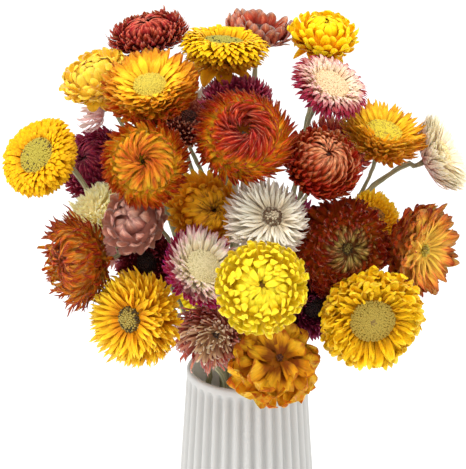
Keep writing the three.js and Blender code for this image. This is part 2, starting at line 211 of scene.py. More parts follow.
# The heads: where each is from the middle of the vase's mouth (across, back, up), the way it looks, its
# width, its kind in the model, its slot's colour, its colours (four of its outermost bracts from root to tip,
# four of its innermost, two of its disc) and what sets it apart
HEADS = [
    ("head_01_deep_red", (-55, 30, 189), (-0.2, -0.1, 1), 45, "flat", "red",
     "480a0c 781218 981c1c a83430, 701214 9c1c1c b83c30 cc6450, 8c2c1c 5a1810",
     dict(form="ball", tall=0.6, blunt=0.3, count=440, streak=1, skirt=0.5)),
    ("head_02_yellow", (-13, 21, 184), (0.1, 0.05, 1), 52, "flat", "yellow",
     "d8840c e09414 cc7c14 a0500f, e89c10 f4b010 fcc010 fcc814, a8a03c 3c3418",
     dict(disc=0.42, blunt=1, wide=0.95, count=520, turn=(0.1, 0.4), dots=0.2, streak=0, spread=0.5,
          rough=0.2, hang=9, tall=0.85)),
    ("head_03_copper", (7, 58, 184), (0.1, 0, 1), 40, "cup", "copper",
     "8c3830 a04c40 b46450 c08870, 74140e a02c1c b84c38 cc7860, 5a2a18 2c1410",
     dict(form="tulip", tall=0.85, wide=3, blunt=1, count=70, streak=1, curl=0.4, rim=0.3, spread=0.8)),
    ("head_04_bright_yellow", (43, 32, 188), (0.15, -0.25, 1), 39, "ball", "yellow",
     "c86c0c e8900c f0a00c d8780c, f4a80c fcc80c ffd414 ffdc20, e8b414 e0a814",
     dict(tall=0.85, wide=2.2, blunt=0.9, count=120, turn=(0.15, 0.3), curl=0.4, streak=0, hang=11,
          disc=0.03)),
    ("head_05_pale_gold", (-83, 7, 171), (-0.4, -0.35, 0.95), 42, "ball", "yellow",
     "f0b830 f0b424 e8a41c d88810, f0c43c f0bc34 f4c43c f4cc48, e8a818 dc9814",
     dict(tall=0.72, wide=2.2, blunt=0.8, count=130, turn=(0.2, 0.4), skirt=0.35, spread=1.2, curl=0.4,
          streak=0.1, hang=12, disc=0.03)),
    ("head_06_orange", (-52, -27, 175), (-0.1, -0.45, 0.9), 52, "open", "gold",
     "f0a41c e07c14 b83c0c 8c2408, f4b424 fcc828 fcb420 f08c18, ccb83c b8a434",
     dict(form="bowl", disc=0.34, count=340, turn=(0.5, 0.95), streak=0.3, wide=1.3, blunt=0.7, curl=0.4,
          relief=0.3)),
    ("head_07_wine", (-6, -2, 161), (0, -0.35, 1), 40, "cup", "wine",
     "4c081c 741028 94203c b04058, 540a20 7c1430 a03450 b84c64, 3a1010 200808",
     dict(streak=0.3)),
    ("head_08_scarlet", (-2, -43, 153), (0, -0.68, 0.74), 53, "ball", "rust",
     "fccc34 ec7410 981c0c 440806, e88428 b82c10 90180c 600c0a, 7c6c58 4a3830",
     dict(form="swirl", swirl=0.45, disc=0.07, count=440, turn=(0.6, 0.72), streak=0.9, curl=0.3)),
    ("head_09_pink_cream", (45, -2, 168), (0.4, -0.4, 0.85), 45, "flat", "magenta",
     "d06060 bc3848 a4243c 8c1830, f0cca4 f4d8b8 ecbcac d88088, e8cca0 d8b890",
     dict(disc=0.44, blunt=0.4, wide=0.8, count=460, turn=(0.5, 0.8), streak=0, tall=0.8, relief=0.5)),
    ("head_10_golden", (75, -1, 141), (0.22, -0.25, 0.94), 47, "open", "amber",
     "f8b428 f09c20 d46814 a03c0c, f8b420 fcc828 fcbc20 e88c18, d8c42c ac8c24",
     dict(form="bowl", disc=0.42, count=420, turn=(0.35, 0.85), skirt=1.3, spread=1.4, teeth=0.6, streak=0.15,
          relief=0.3)),
    ("head_11_cream", (109, 15, 123), (0.9, -0.15, 0.45), 48, "flat", "ivory",
     "d07c6c e0988c fcdcc8 fff0d0, f8dcb8 fcecc8 fff0cc fff4d4, f0e0a8 d8c080",
     dict(form="fan", disc=0.3, turn=(0.1, 0.6), wide=1.2, blunt=0.4, count=380, streak=0, spread=0.6,
          rough=0.05)),
    ("head_12_rust", (40, -35, 135), (0.35, -0.5, 0.75), 44, "ball", "rust",
     "901408 a41c0a 90180a 700f0a, b83c1c cc6034 e09468 b44c28, 5a2a14 3a1a10",
     dict(swirl=0.15, disc=0.05, blunt=0.3, count=440, turn=(0.6, 0.95), streak=1)),
    ("head_13_bright_yellow", (-114, -10, 130), (-0.5, -0.6, 0.62), 48, "flat", "yellow",
     "e8880c ec980c e09c0c c0680c, e89410 f0a810 f0b00c f0ac0c, b0a034 54401c",
     dict(disc=0.44, blunt=1, wide=0.95, count=520, turn=(0.1, 0.45), dots=0.1, streak=0, spread=0.5,
          tall=0.8, rough=0.1, relief=0.5)),
    ("head_14_wine", (-87, 26, 114), (-0.6, -0.5, 0.5), 44, "open", "wine",
     "54081c 740e28 540a1c 38060c, 6c0c28 8c2040 7c1c3c 500c24, 3a1010 200808",
     dict(form="ball", tall=0.8, count=440, wide=0.9, streak=0.9, swirl=0.2)),
    ("head_15_orange", (-54, -55, 142), (-0.05, -0.92, 0.4), 48, "open", "orange",
     "ecac22 cc540c 941c08 580c04, e4bc30 e09020 cc6410 9c340b, 6a5418 4a3410",
     dict(form="swirl", swirl=0.25, disc=0.04, count=440, wide=0.9, turn=(0.58, 0.76), streak=0.3, size=0.94,
          lean=(-0.04, 0.04), curl=0.3)),
    ("head_16_straw", (-84, -11, 97), (-0.6, -0.4, 0.7), 40, "open", "cream",
     "f4e090 fcf0a8 fff8bc fff8cc, f4e094 fcf0a8 fff8bc fffcd4, f0e09c d8c880",
     dict(wide=0.9, count=440, spread=1.4, form="cup", disc=0.1, streak=0, curl=0.8, relief=0.2)),
    ("head_17_dusty_pink", (-61, -48, 107), (-0.4, -0.75, 0.55), 38, "ball", "pink",
     "a46c5c b87c6c c48874 a46858, 98584c a86c5c c08c7c a86c60, 8c4a40 5a2a24",
     dict(wide=2.8, blunt=0.3, count=64, streak=0.6, rim=0.4, disc=0.03, rough=0.8, curl=0.3)),
    ("head_18_rust", (-95, -38, 79), (-0.85, -0.5, 0.05), 51, "open", "rust",
     "dc8824 b8440a 7c1608 400806, f0a848 c8680c 9c2c08 581006, 4a2814 2c1810",
     dict(form="swirl", spread=2.6, disc=0.06, wide=0.85, count=400, turn=(0.5, 0.85), streak=0.8, curl=0.6,
          rough=0.6, lean=(0.15, 0.08))),
    ("head_19_amber", (-24, -29, 108), (0.1, -0.75, 0.65), 41, "open", "amber",
     "e88810 f49c18 f8a820 ec9818, e08814 f4a41c e8981c 7c440c, 5c2c0c 3a1c0c",
     dict(form="swirl", swirl=0.2, disc=0.12, count=200, wide=1.7, blunt=0.9, curl=0.4, streak=0.15,
          lean=(0.3, -0.22))),
    ("head_20_cream", (9, -52, 109), (0.15, -0.7, 0.7), 46, "open", "cream",
     "ccbca0 dcd0bc e0c4bc c49c94, d0bc9c e4d8c0 ece2cc ece6d4, c0b094 5c3c20",
     dict(form="bowl", disc=0.24, ring=0.5, count=440, wide=0.7, spread=1.6, streak=0, blunt=0.2,
          lean=(0.22, 0.06), tips=15)),
    ("head_21_maroon", (51, -41, 88), (0.3, -0.9, 0.15), 56, "open", "rust",
     "b0400f 8c1c0a 5c100a 380a0a, 5c3414 8c642c 98803c 785c30, a08c48 4c3818",
     dict(form="ring", swirl=0.2, disc=0.12, count=460, wide=0.9, streak=1, lean=(0.14, 0), turn=(0.84, 1),
          ring=0.5, curl=0.3)),
    ("head_22_orange", (96, -24, 81), (0.72, -0.68, 0.1), 52, "open", "orange",
     "e8904c d05820 9c2810 380a10, d8a838 f4b440 e87c30 942c10, b0a038 8a7430",
     dict(form="bowl", wide=2, blunt=0.7, count=170, disc=0.12, turn=(0.4, 0.9), streak=0.6, spread=1.6,
          teeth=0.3, rim=0.5, curl=0.5)),
    ("head_23_dark_wine", (-55, -22, 73), (-0.15, -0.9, 0.3), 38, "open", "wine",
     "30060a 440a12 58101c 6c1c28, 3c080e 500c16 6a1422 802838, 2c1810 1c0c08", {}),
    ("head_24_cream_crimson", (-24, -60, 85), (0.42, -0.6, 0.68), 46, "open", "magenta",
     "dc8c9c b42c50 9c143c 841034, f0dcb4 f4e8cc f4dccc e0a4b0, dcd0a4 ccc090",
     dict(form="bowl", disc=0.42, count=420, wide=0.85, turn=(0.5, 0.7), streak=0, relief=0.1)),
    ("head_25_lemon", (7, -86, 84), (0, -0.88, 0.48), 50, "ball", "lemon",
     "f8dc24 fce430 f8dc28 e4b818, f0c81c f8dc28 fce434 f4cc20, a87c18 8a6018",
     dict(blunt=1, count=340, wide=1.2, streak=0, rough=0.5, swirl=0.1, curl=0.3, tips=-8)),
    ("head_26_gold", (-60, -60, 55), (-0.55, -0.8, 0.22), 54, "open", "gold",
     "e8840f f0ac14 f4b818 f4bc20, d88410 ecac18 f4b81c f8cc28, a89444 34240c",
     dict(form="bowl", disc=0.26, spread=1.6, ring=0.7, wide=0.75, count=540, streak=0.1, lean=(-0.12, 0),
          curl=0.3)),
    ("head_27_curly_gold", (67, -60, 55), (0.1, -1, -0.05), 58, "open", "gold",
     "e8a010 f0b414 f4bc18 f4c420, d8980f ecb010 f4bc14 f8cc20, ac9438 846830",
     dict(blunt=1, curl=1, rough=0.8, form="bowl", wide=1.5, disc=0.42, count=340, spread=1.4, streak=0.1,
          size=0.92, teeth=0.3, relief=0.3, ring=-0.15, tips=20)),
    ("head_28_dark_wine", (36, -39, 53), (0.3, -0.9, 0.1), 38, "open", "wine",
     "34061a 480a22 5c1030 702038, 34061a 480a22 5c1030 702038, 2c1010 1c0808", {}),
    ("head_29_brown", (-22, -50, 39), (-0.1, -0.9, -0.1), 38, "cup", "brown",
     "943c34 b84440 c85854 c04850, 98704c d0ac80 e8d0a8 f8ead0, 3c2414 24140c",
     dict(curl=0.9, spread=2.6, wide=0.8, swirl=0.3, disc=0.1, count=360, turn=(0.6, 0.95), streak=0.4,
          lean=(0.3, 0.2))),
    ("head_30_amber", (15, -58, 28), (0.1, -0.7, 0.7), 49, "open", "amber",
     "e88810 f8b020 f8b420 a43c08, 904810 e89c18 f8b428 a84c0c, 6c3410 4a2410",
     dict(form="bowl", wide=4.4, blunt=1, fan=0.6, count=54, disc=0.08, curl=1.2, streak=0.2, spread=1.3,
          lean=(0.1, 0.1), rim=0.9, tips=30)),
    ("head_31_pale_pink", (-88, 24, 147), (-1, -0.1, 0.1), 32, "open", "pink",
     "dca0a0 f0c4c4 f8d8d8 fce4e4, dca0a0 f0c4c4 f8d8d8 fce4e4, b09060 806040",
     dict(form="tulip", wide=1.2, blunt=0.2, spread=2, count=50, streak=0, curl=0.6, size=0.85)),
    ("head_32_russet", (-32, 2, 148), (0.2, -0.5, 0.8), 34, "cup", "copper",
     "5c1818 8c3428 a85040 c47c60, 6c201c 984030 b46050 c88468, 5a2a18 2c1410", {}),
    ("head_33_yellow", (71, -9, 95), (0.4, -0.4, 0.7), 34, "cup", "yellow",
     "d88c0c f0ac0a f8c00c fcd434, d8900c f4b00a fcc410 fcd838, a86a10 5a3a10", {}),
    ("head_34_rust_back", (-70, 55, 106), (-0.7, 0.8, 0.4), 42, "ball", "rust",
     "c85a20 b43a18 982410 6c100c, b84820 c86030 d87848 b04020, 5a2a14 3a1a10", {}),
    ("head_35_cream_back", (-38, 60, 138), (-0.2, 0.8, 0.7), 42, "open", "cream",
     "d8c8b0 e6dad0 e0ccc8 cc98a0, c8b890 e0d8bc f0ead4 fbf6e8, 968a68 54401e", {}),
    ("head_36_gold_back", (2, 62, 117), (0, 1, 0.4), 44, "open", "gold",
     "d0840c e8a010 f4b418 f0b020, c88c14 e8ac14 f8c428 fcd850, 4c4018 2c200c",
     dict(form="bowl")),
    ("head_37_red_back", (55, 50, 118), (0.5, 0.8, 0.5), 42, "cup", "red",
     "5a0c16 7a1420 92201e a03426, 6a1018 8c2420 b04a36 d08c68, 5a2a18 2c1410", {}),
    ("head_38_pink_back", (-82, 34, 64), (-0.8, 0.6, 0.1), 40, "open", "pink",
     "a86860 bc7c74 c08078 8c4848, b4706c cc948c e4bcb4 d09890, 8c4a40 5a2a24", {}),
    ("head_39_orange_back", (-22, 66, 64), (-0.3, 1, 0.1), 44, "open", "orange",
     "e09830 d8701c b84018 781810, b8a040 d8a83c e08c30 c85c20, b08c30 3c2410", {}),
    ("head_40_wine_back", (24, 68, 62), (0.2, 1, 0.1), 40, "cup", "wine",
     "5a0a28 6a0c2c 560a20 38060e, 8c2458 b04878 90305c 5c1030, 3a1010 200808", {}),
    ("head_41_yellow_back", (60, 58, 46), (0.5, 0.9, 0), 42, "flat", "yellow",
     "c87c0c e0900c e8960c c0580c, e8b008 ffd00a ffdc14 ffe63c, a0a040 3a3818",
     dict(disc=0.34)),
    ("head_42_amber_back", (96, 28, 58), (0.9, 0.4, 0.1), 38, "ball", "amber",
     "b07810 cc8810 d8941a a8600c, a86c0c c47c0e d8941c e8ac30, 5a3010 3a1c0c", {}),
    ("head_43_lemon_back", (-26, 56, 26), (-0.3, 0.9, -0.2), 40, "ball", "lemon",
     "d0a008 e6c410 f4dc28 fcf060, c89c08 e4bc0c f4dc24 fcf058, 8a5c14 5a3c10",
     dict(blunt=1)),
    ("head_44_cream_back", (30, 56, 28), (0.3, 0.9, -0.2), 40, "flat", "ivory",
     "b87870 d8a498 f0c8b8 f8dcc8, fff2d6 fff4dc fff8e8 fffaf0, f0e0a8 d8c080", {}),
]

# How many bracts a head has if it gives no count, at the front and at the back, and the random seeds
COUNT = 360
BACK_COUNT = 260
FIRST_BACK_HEAD = 34
HEAD_SEED = 1000
STEM_SEED = 2000

# The vase: the radius and height of its outside from the underside up, and of its inside from the lip down.
# The flutes fade in and out between the heights of FLUTE_ENDS.
VASE_HEIGHT = 190
VASE_OUTSIDE = [
    (43.4, 0), (44.4, 0.15), (45.5, 0.9), (46.3, 2.2), (46.8, 3.8), (47, 5), (46.7, 9), (46.3, 15),
    (44.7, 38), (43.1, 61), (41.5, 84), (39.9, 107), (38.4, 130), (36.9, 151), (35.7, 169), (35, 179),
    (34.7, 183.2), (34.62, 184.6), (34.56, 185.6), (34.5, 186.3), (34.5, 188.2), (34.3, 189.1), (33.8, 189.7),
    (33.2, 190),
]
VASE_INSIDE = [
    (32, 190), (31.4, 189.6), (31, 188.8), (31.2, 184), (34.3, 140), (38.2, 80), (41.6, 20), (41.2, 8),
    (39, 6),
]
LIP_RINGS = 2
VASE_FLOOR = 6
FLUTES = 34
FLUTE_DEPTH = 2.4
FLUTE_ENDS = [2, 9, 182.5, 186]
POINTS_PER_FLUTE = 14

# The stems, as in the model: where each passes the mouth, its heads (the first on the main stem, the others
# on twigs) and the twig with a dry leaf. VIA has the points where a stem bends round other heads, and SEATS
# how far a head's back is behind its middle, in shares of its radius.
STEMS = {
    "left_top": ((-12, 6), (1, 5, 31), None),
    "left_front": ((-13, -7), (6, 15, 17), None),
    "left": ((-22, 0), (13, 14, 16, 18), None),
    "top": ((-3, 4), (2, 7, 32), 0),
    "front_top": ((-2, -8), (8, 19), None),
    "back_top": ((2, 14), (3, 35, 36), None),
    "right_top": ((8, 6), (4, 9, 37), None),
    "right": ((20, 3), (11, 10, 22, 33), None),
    "right_front": ((9, -6), (12, 20), 0),
    "right_low": ((17, -13), (21, 27, 28), None),
    "front": ((2, -17), (24, 25), None),
    "left_low": ((-13, -18), (26, 23), 0),
    "front_low": ((3, -25), (29, 30), None),
    "back_left": ((-14, 17), (34, 38, 39, 43), 0),
    "back_right": ((15, 17), (41, 42, 40, 44), None),
}
VIA = {
    2: [(-11, 22, 100), (-15, 31, 155)],
    3: [(2, 36, 90), (4, 45, 150)],
    6: [(-34, 0, 85), (-53, 3, 148)],
    11: [(62, 16, 94), (92, 17, 117)],
    13: [(-74, 3, 80), (-99, 8, 118)],
    15: [(-34, -14, 85), (-45, -24, 122)],
    17: [(-31, -22, 68), (-50, -28, 98)],
    24: [(0, -22, 38), (-13, -36, 62)],
    32: [(-24, 4, 100)],
}
SEATS = {"open": 0.46, "flat": 0.46, "cup": 0.58, "ball": 0.6}
STEM_RADIUS, STEM_SIDES = 1.45, 9
TWIG_RADIUS, TWIG_SIDES = 1.15, 7
TUBE_STEP = 3
SEAT_GAP = 0.3
FLOOR_GAP = 0.3
FOOT_SPREAD = 1.2
BENDS_FROM = 0.92
BEND_LENGTH = 16
STRAIGHT_END = 6
FORKS_FROM, FORK_STEPS = 2, 6
LEAF_LENGTH, LEAF_WIDTH = 20.8, 4.6
STEM_COLOURS = "76724e a09a78 c4bc98", "5e6648 868c6a aeae8c"


def from_hex(text):
    """The linear colour of a hexadecimal one."""
    channels = [int(text[i:i + 2], 16) / 255 for i in (0, 2, 4)]
    return tuple(c / 12.92 if c <= 0.04045 else ((c + 0.055) / 1.055) ** 2.4 for c in channels)


def add_object(name, data):
    """A new object in the scene."""
    new = bpy.data.objects.new(name, data)
    bpy.context.collection.objects.link(new)
    return new


def facing_axes(face):
    """Three unit vectors: across, up the head and along the way it looks."""
    turn = Vector((0, 0, 1)).rotation_difference(Vector(face).normalized())
    return np.array(turn.to_matrix())


class Nodes:
    """A material's node tree, with short calls for the nodes used here."""

    def __init__(self, name):
        self.material = bpy.data.materials.new(name)
        self.material.use_nodes = True
        self.tree = self.material.node_tree
        self.shader = self.tree.nodes["Principled BSDF"]

    def add(self, kind, inputs=(), **settings):
        node = self.tree.nodes.new(kind)
        for key, value in settings.items():
            setattr(node, key, value)
        for key, value in dict(inputs).items():
            self.put(node.inputs[key], value)
        return node

    def put(self, socket, value):
        if isinstance(value, bpy.types.NodeSocket):
            self.tree.links.new(value, socket)
        else:
            socket.default_value = value

    def math(self, operation, a, b=0, c=0):
        return self.add("ShaderNodeMath", {0: a, 1: b, 2: c}, operation=operation).outputs[0]

    def times(self, a, b):
        return self.math("MULTIPLY", a, b)

    def attribute(self, name):
        return self.add("ShaderNodeAttribute", attribute_name=name).outputs["Fac"]

    def vector(self, x, y, z):
        return self.add("ShaderNodeCombineXYZ", {0: x, 1: y, 2: z}).outputs[0]

    def noise(self, vector, scale, detail=3, roughness=0.6):
        inputs = {"Vector": vector, "Scale": scale, "Detail": detail, "Roughness": roughness}
        return self.add("ShaderNodeTexNoise", inputs).outputs["Fac"]

    def span(self, value, low, high, to_low=0, to_high=1):
        node = self.add("ShaderNodeMapRange", {0: value, 1: low, 2: high, 3: to_low, 4: to_high})
        return node.outputs[0]

    def ramp(self, value, stops):
        node = self.add("ShaderNodeValToRGB", {0: value})
        elements = node.color_ramp.elements
        while len(elements) < len(stops):
            elements.new(0.5)
        for element, (place, colour) in zip(elements, stops):
            element.position = place
            element.color = (*colour, 1)
        return node.outputs[0]

    def colours(self, value, places, text):
        return self.ramp(value, list(zip(places, map(from_hex, text.split()))))

    def mix(self, share, a, b, blend="MIX"):
        node = self.add("ShaderNodeMix", data_type="RGBA", blend_type=blend)
        for key, value in ((0, share), (6, a), (7, b)):
            self.put(node.inputs[key], (*value, 1) if isinstance(value, tuple) else value)
        return node.outputs[2]

    def bump(self, height, strength, distance):
        inputs = {"Height": height, "Strength": strength, "Distance": distance}
        self.put(self.shader.inputs["Normal"], self.add("ShaderNodeBump", inputs).outputs[0])

    def finish(self, colour, roughness, **values):
        self.put(self.shader.inputs["Base Color"], colour)
        self.put(self.shader.inputs["Roughness"], roughness)
        for key, value in values.items():
            self.shader.inputs[key.replace("_", " ")].default_value = value
        return self.material


def bract_material(name, outer, inner, look):
    """Dry papery bracts: colours along each, a painted highlight in pale broken lines down each one's middle
    with painted shade at its edges, and each bract a little different.
    """
    nodes = Nodes(name)
    along, across, whorl, chance = (nodes.attribute(key) for key in ATTRIBUTES)
    sideways = nodes.math("MULTIPLY_ADD", across, 2.6, nodes.times(chance, 61))
    fine = nodes.vector(sideways, nodes.times(along, 1.1), nodes.times(chance, 37))
    veins = nodes.noise(fine, 2.4, 4, 0.7)
    broad = nodes.noise(fine, 0.7, 2, 0.5)
    place = nodes.math("ADD", along, nodes.span(broad, 0.3, 0.7, -0.14, 0.14))
    ramps = [nodes.colours(place, COLOUR_PLACES, text) for text in (outer, inner)]
    level = nodes.math("ADD", whorl, nodes.span(chance, 0, 1, -0.1, 0.1))
    colour = nodes.mix(nodes.span(level, *look["turn"]), *ramps)
    edge = nodes.math("ABSOLUTE", across)
    if "rim" in look:
        border = nodes.times(nodes.span(edge, 0.6, 1, 0, look["rim"]), nodes.span(along, 0.3, 0.7))
        colour = nodes.mix(border, colour, from_hex(outer.split()[3]))
    streak = look["streak"]
    shade = nodes.times(nodes.span(veins, 0.3, 0.7, 0.84, 1.14), nodes.span(chance, 0, 1, 0.9, 1.12))
    # Painted light across each bract: with a weak highlight its edges are lighter, as if lit through; with a
    # strong one its middle is lighter and its edges darker, painted highlight and painted shade.
    shade = nodes.times(shade, nodes.span(edge, 0, 1, 0.9 + 0.3 * streak, 1.15 - 0.45 * streak))
    hue = nodes.span(nodes.math("FRACT", nodes.times(chance, 7.3)), 0, 1, 0.497, 0.507)
    colour = nodes.add("ShaderNodeHueSaturation", {"Color": colour, "Value": shade, "Hue": hue}).outputs[0]
    # Painted highlight: pale broken lines added down the middle of each bract, stronger towards its tip and
    # on the inner whorls.
    painted_highlight_line = nodes.times(nodes.span(edge, 0, 0.35, streak, 0), nodes.span(veins, 0.46, 0.6))
    painted_highlight_line = nodes.times(painted_highlight_line, nodes.span(nodes.times(along, whorl), 0.15, 0.6))
    colour = nodes.mix(painted_highlight_line, colour, PAINTED_HIGHLIGHT_COLOUR, "ADD")
    nodes.bump(veins, 0.35, 0.0004)
    roughness = nodes.span(veins, 0.3, 0.7, 0.5, 0.34)
    return nodes.finish(
        colour, roughness, Specular_IOR_Level=0.06,
        Subsurface_Weight=0.35, Subsurface_Radius=(0.002, 0.0014, 0.001), Subsurface_Scale=1,
    )


def disc_material(name, colours):
    """The disc's florets."""
    nodes = Nodes(name)
    common, dark = map(from_hex, colours.split())
    chance = nodes.attribute("chance")
    along = nodes.attribute("along")
    spots = nodes.ramp(chance, [(0, common), (0.66, common), (0.78, dark)])
    # Painted shade: each floret is darker towards its base, where the florets shade one another.
    colour = nodes.mix(nodes.span(along, 0, 1, 0.4, 0), spots, tuple(0.85 * c for c in common))
    grain = nodes.noise(nodes.add("ShaderNodeTexCoord").outputs["Object"], 2500, 2)
    nodes.bump(grain, 0.3, 0.0002)
    return nodes.finish(colour, nodes.span(grain, 0.3, 0.7, 0.8, 0.65))


def angles_round(sides):
    """Even angles round a circle."""
    return np.linspace(0, 2 * np.pi, sides, endpoint=False)


def grid_quads(grid, flip=False):
    """The four-sided faces between the points of a grid."""
    quads = np.stack([grid[:-1, :-1], grid[1:, :-1], grid[1:, 1:], grid[:-1, 1:]], -1).reshape(-1, 4)
    return quads[:, ::-1] if flip else quads


def closed_sheet_template(rows, columns):
    """The faces of a thin closed sheet. Its two sides share the points of its rim."""
    top = np.arange(rows * columns).reshape(rows, columns)
    under = top.copy()
    under[1:-1, 1:-1] = rows * columns + np.arange((rows - 2) * (columns - 2)).reshape(rows - 2, columns - 2)
    rim = np.ones((rows, columns), bool)
    rim[1:-1, 1:-1] = False
    rim = np.concatenate([rim.ravel(), np.zeros((rows - 2) * (columns - 2), bool)])
    return np.concatenate([grid_quads(top), grid_quads(under, flip=True)]), rim


def new_piece(name, parts, materials):
    """One object from parts. A part has points, faces, its material's number, a rim mask and attributes."""
    def gathered(key, missing):
        values = [np.broadcast_to(part.get(key, missing), part["points"].shape[:-1]) for part in parts]
        return np.concatenate([value.ravel() for value in values])

    clouds = [part["points"].reshape(-1, 3) for part in parts]
    points = np.concatenate(clouds) * MM
    starts = np.cumsum([0] + [len(cloud) for cloud in clouds])
    corners, sizes, numbers = [], [], []
    for start, part in zip(starts, parts):
        for faces in part["faces"]:
            corners.append((faces + start).ravel())
            sizes.append(np.full(len(faces), faces.shape[1]))
            numbers.append(np.full(len(faces), part.get("material", 0)))
    corners, sizes, numbers = (np.concatenate(lists).astype(np.int32) for lists in (corners, sizes, numbers))
    mesh = bpy.data.meshes.new(name)
    mesh.vertices.add(len(points))
    mesh.vertices.foreach_set("co", points.astype(np.float32).ravel())
    mesh.loops.add(len(corners))
    mesh.loops.foreach_set("vertex_index", corners)
    mesh.polygons.add(len(sizes))
    mesh.polygons.foreach_set("loop_start", (np.cumsum(sizes) - sizes).astype(np.int32))
    mesh.polygons.foreach_set("material_index", numbers)
    mesh.update(calc_edges=True)
    mesh.shade_smooth()
    for key in ATTRIBUTES:
        attribute = mesh.attributes.new(key, "FLOAT", "POINT")
        attribute.data.foreach_set("value", gathered(key, 0).astype(np.float32))
    rim = gathered("rim", False)
    ends = np.empty(2 * len(mesh.edges), np.int32)
    mesh.edges.foreach_get("vertices", ends)
    sharp = rim[ends[::2]] & rim[ends[1::2]]
    mesh.attributes.new("sharp_edge", "BOOLEAN", "EDGE").data.foreach_set("value", sharp)
    for material in materials:
        mesh.materials.append(material)
    return add_object(name, mesh)


def outline_of_bract(t, blunt, fan):
    """The half width of a bract along it, from 0 to 1: pointed, or with a round end, or wider towards it."""
    body = 0.6 + 0.4 * np.sin(np.pi / 2 * np.clip(t / 0.45, 0, 1))
    body = body * (1 - fan + fan * (0.35 + 0.75 * t))
    end = np.clip((t - 0.4) / 0.6, 0, 1)
    pointed = (1 - end ** 1.5) ** 0.9
    rounded = np.sqrt(np.clip(1 - end ** 3.2, 0, 1))
    return np.maximum(body * ((1 - blunt) * pointed + blunt * rounded), 0.05)


def form_of_head(kind, look):
    """The keys of a head's form, and its disc's radius. Its bracts begin at the disc or close over it."""
    form = look.get("form", kind)
    keys = BRACT_KEYS[form].copy()
    closed = form in ("ball", "swirl", "ring")
    disc = look.get("disc", 0.08 if closed else 0.3)
    innermost = keys[:, 0] ** 4
    keys[:, [2, 4]] *= look["tall"]
    if not closed:
        keys[:, 1] += (0.95 * disc - keys[-1, 1]) * innermost
    keys[:, 3] = np.maximum(look["size"] * keys[:, 3], 1.1 * disc * innermost * (disc > 0.15))
    return keys, disc


